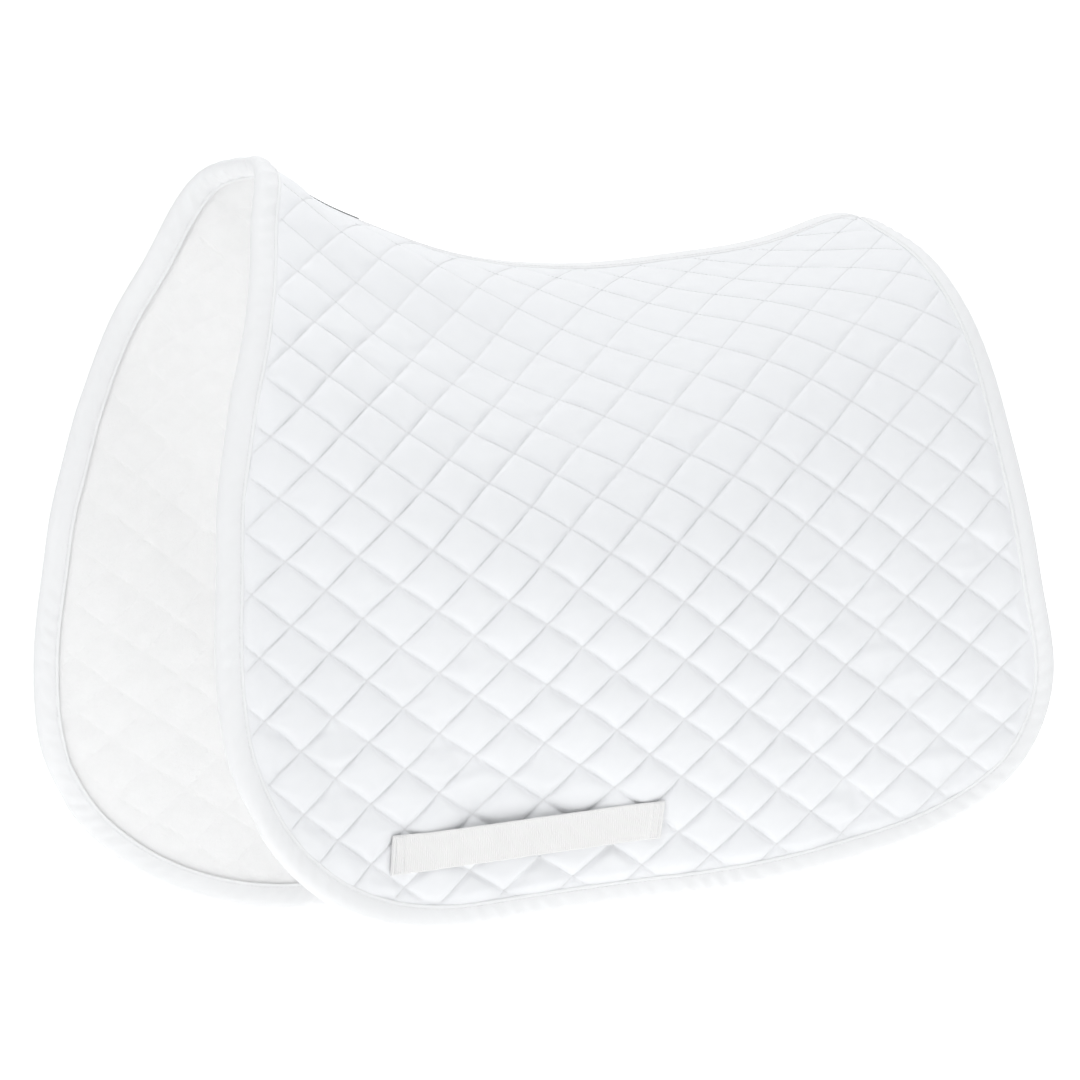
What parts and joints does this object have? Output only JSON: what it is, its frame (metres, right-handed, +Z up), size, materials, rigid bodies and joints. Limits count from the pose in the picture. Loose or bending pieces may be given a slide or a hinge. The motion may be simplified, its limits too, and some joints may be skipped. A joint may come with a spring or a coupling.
{
  "type": "dressage saddle pad",
  "caption": "Quilted cotton pad shaped to hang over a horse's back under a saddle, with a high withers, bound edges, a spine tape and webbing girth keepers.",
  "frame": {"origin": "underside of the inner spine tape at the middle of the seam, where the pad rests on the horse's spine", "axes": "-X towards the withers (front), +X towards the rear, -Y near (left) side, +Y off (right) side, +Z up"},
  "size_m": [0.7277, 0.4164, 0.6177],
  "materials": {
    "cotton_cover": "plain-woven white cotton, quilted, matt",
    "polyester_wadding": "soft white fibre fill",
    "brushed_lining": "brushed white cotton, slightly fuzzy",
    "cotton_binding": "white cotton twill strip, matt",
    "cotton_tape": "white cotton tape, matt",
    "webbing": "off-white ribbed webbing",
    "sewing_thread": "white thread",
    "woven_label": "plain dark woven label with nothing on it"
  },
  "bodies": {
    "spine": {"spine_tape_outer": "cotton_tape", "spine_tape_inner": "cotton_tape", "spine_stitch_left": "sewing_thread", "spine_stitch_right": "sewing_thread", "blank_label": "woven_label"},
    "left_flap": {"outer_cover_left": "cotton_cover", "wadding_left": "polyester_wadding", "lining_left": "brushed_lining", "edge_binding_left": "cotton_binding", "binding_stitch_left": "sewing_thread", "girth_strap_left": "webbing", "strap_stitch_front_left": "sewing_thread", "strap_stitch_rear_left": "sewing_thread"},
    "right_flap": {"outer_cover_right": "cotton_cover", "wadding_right": "polyester_wadding", "lining_right": "brushed_lining", "edge_binding_right": "cotton_binding", "binding_stitch_right": "sewing_thread", "girth_strap_right": "webbing", "strap_stitch_front_right": "sewing_thread", "strap_stitch_rear_right": "sewing_thread"}
  },
  "joints": [
    {"name": "left_fold", "type": "hinge", "parent": "spine", "child": "left_flap", "pos_m": [0, 0, 0.05], "axis": [-0.9975, 0, 0.0712], "range_deg": [-8, 28], "stiffness_Nm_per_rad": 2, "springref_deg": 21.49, "deforming": ["spine_tape_outer", "spine_tape_inner", "spine_stitch_left", "spine_stitch_right", "blank_label"]},
    {"name": "right_fold", "type": "hinge", "parent": "spine", "child": "right_flap", "pos_m": [0, 0, 0.05], "axis": [0.9975, 0, -0.0712], "range_deg": [-8, 28], "stiffness_Nm_per_rad": 2, "springref_deg": 19.94, "deforming": ["spine_tape_outer", "spine_tape_inner", "spine_stitch_left", "spine_stitch_right", "blank_label"]}
  ]
}
